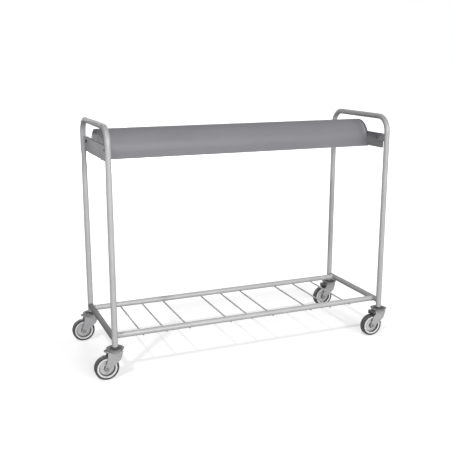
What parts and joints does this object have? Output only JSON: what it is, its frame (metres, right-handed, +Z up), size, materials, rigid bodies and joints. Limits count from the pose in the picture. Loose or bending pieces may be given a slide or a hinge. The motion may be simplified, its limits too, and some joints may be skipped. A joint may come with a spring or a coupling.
{
  "type": "hospital sheet trolley",
  "caption": "Open tubular hospital trolley with a half-round sheet-metal saddle for draping sheets, a cross-rod shelf and swivel castors with toe brakes at the right-hand end.",
  "frame": {"origin": "on the floor under the middle of the bounding box", "axes": "+X along the trolley to the braked end, +Y to the rear, +Z up"},
  "size_m": [1.372, 0.521, 1.018],
  "materials": {
    "tube": "satin",
    "sheet": "satin",
    "steel": "zinc plated",
    "nylon": "matt",
    "hub": "satin",
    "cover": "satin",
    "tyre": "matt",
    "pedal": "matt"
  },
  "bodies": {
    "frame": {"left_end_frame": "tube", "right_end_frame": "tube", "left_end_rail": "tube", "right_end_rail": "tube", "front_rail": "tube", "rear_rail": "tube", "shelf_rod_1": "tube", "shelf_rod_2": "tube", "shelf_rod_3": "tube", "shelf_rod_4": "tube", "shelf_rod_5": "tube", "shelf_rod_6": "tube", "shelf_rod_7": "tube", "shelf_rod_8": "tube", "shelf_rod_9": "tube", "saddle": "sheet", "left_end_plate": "sheet", "right_end_plate": "sheet", "leg_brackets": "steel", "plate_bolts": "steel", "stem_expanders": "nylon", "stem_front_left": "steel", "swivel_race_front_left": "steel", "stem_front_right": "steel", "swivel_race_front_right": "steel", "stem_rear_left": "steel", "swivel_race_rear_left": "steel", "stem_rear_right": "steel", "swivel_race_rear_right": "steel"},
    "swivel_front_left": {"fork_front_left": "steel", "swivel_balls_front_left": "steel", "axle_front_left": "steel"},
    "wheel_front_left": {"wheel_bush_front_left": "nylon", "wheel_hub_front_left": "hub", "wheel_covers_front_left": "cover", "tyre_front_left": "tyre"},
    "swivel_front_right": {"fork_front_right": "steel", "swivel_balls_front_right": "steel", "axle_front_right": "steel"},
    "wheel_front_right": {"wheel_bush_front_right": "nylon", "wheel_hub_front_right": "hub", "wheel_covers_front_right": "cover", "tyre_front_right": "tyre"},
    "swivel_rear_left": {"fork_rear_left": "steel", "swivel_balls_rear_left": "steel", "axle_rear_left": "steel"},
    "wheel_rear_left": {"wheel_bush_rear_left": "nylon", "wheel_hub_rear_left": "hub", "wheel_covers_rear_left": "cover", "tyre_rear_left": "tyre"},
    "swivel_rear_right": {"fork_rear_right": "steel", "swivel_balls_rear_right": "steel", "axle_rear_right": "steel"},
    "wheel_rear_right": {"wheel_bush_rear_right": "nylon", "wheel_hub_rear_right": "hub", "wheel_covers_rear_right": "cover", "tyre_rear_right": "tyre"},
    "pedal_front_right": {"brake_pedal_front_right": "pedal"},
    "pedal_rear_right": {"brake_pedal_rear_right": "pedal"}
  },
  "joints": [
    {"name": "swivel_front_left", "type": "hinge", "parent": "frame", "child": "swivel_front_left", "pos_m": [-0.5985, -0.224, 0.118], "axis": [0, 0, 1], "continuous": true},
    {"name": "roll_front_left", "type": "hinge", "parent": "swivel_front_left", "child": "wheel_front_left", "pos_m": [-0.636, -0.224, 0.05], "axis": [0, 1, 0], "continuous": true},
    {"name": "swivel_front_right", "type": "hinge", "parent": "frame", "child": "swivel_front_right", "pos_m": [0.6495, -0.224, 0.118], "axis": [0, 0, 1], "continuous": true},
    {"name": "roll_front_right", "type": "hinge", "parent": "swivel_front_right", "child": "wheel_front_right", "pos_m": [0.612, -0.224, 0.05], "axis": [0, 1, 0], "continuous": true},
    {"name": "swivel_rear_left", "type": "hinge", "parent": "frame", "child": "swivel_rear_left", "pos_m": [-0.5985, 0.224, 0.118], "axis": [0, 0, 1], "continuous": true},
    {"name": "roll_rear_left", "type": "hinge", "parent": "swivel_rear_left", "child": "wheel_rear_left", "pos_m": [-0.636, 0.224, 0.05], "axis": [0, 1, 0], "continuous": true},
    {"name": "swivel_rear_right", "type": "hinge", "parent": "frame", "child": "swivel_rear_right", "pos_m": [0.6495, 0.224, 0.118], "axis": [0, 0, 1], "continuous": true},
    {"name": "roll_rear_right", "type": "hinge", "parent": "swivel_rear_right", "child": "wheel_rear_right", "pos_m": [0.612, 0.224, 0.05], "axis": [0, 1, 0], "continuous": true},
    {"name": "brake_front_right", "type": "hinge", "parent": "swivel_front_right", "child": "pedal_front_right", "pos_m": [0.619, -0.224, 0.109], "axis": [0, -1, 0], "range_deg": [0, 20]},
    {"name": "brake_rear_right", "type": "hinge", "parent": "swivel_rear_right", "child": "pedal_rear_right", "pos_m": [0.619, 0.224, 0.109], "axis": [0, -1, 0], "range_deg": [0, 20]}
  ]
}
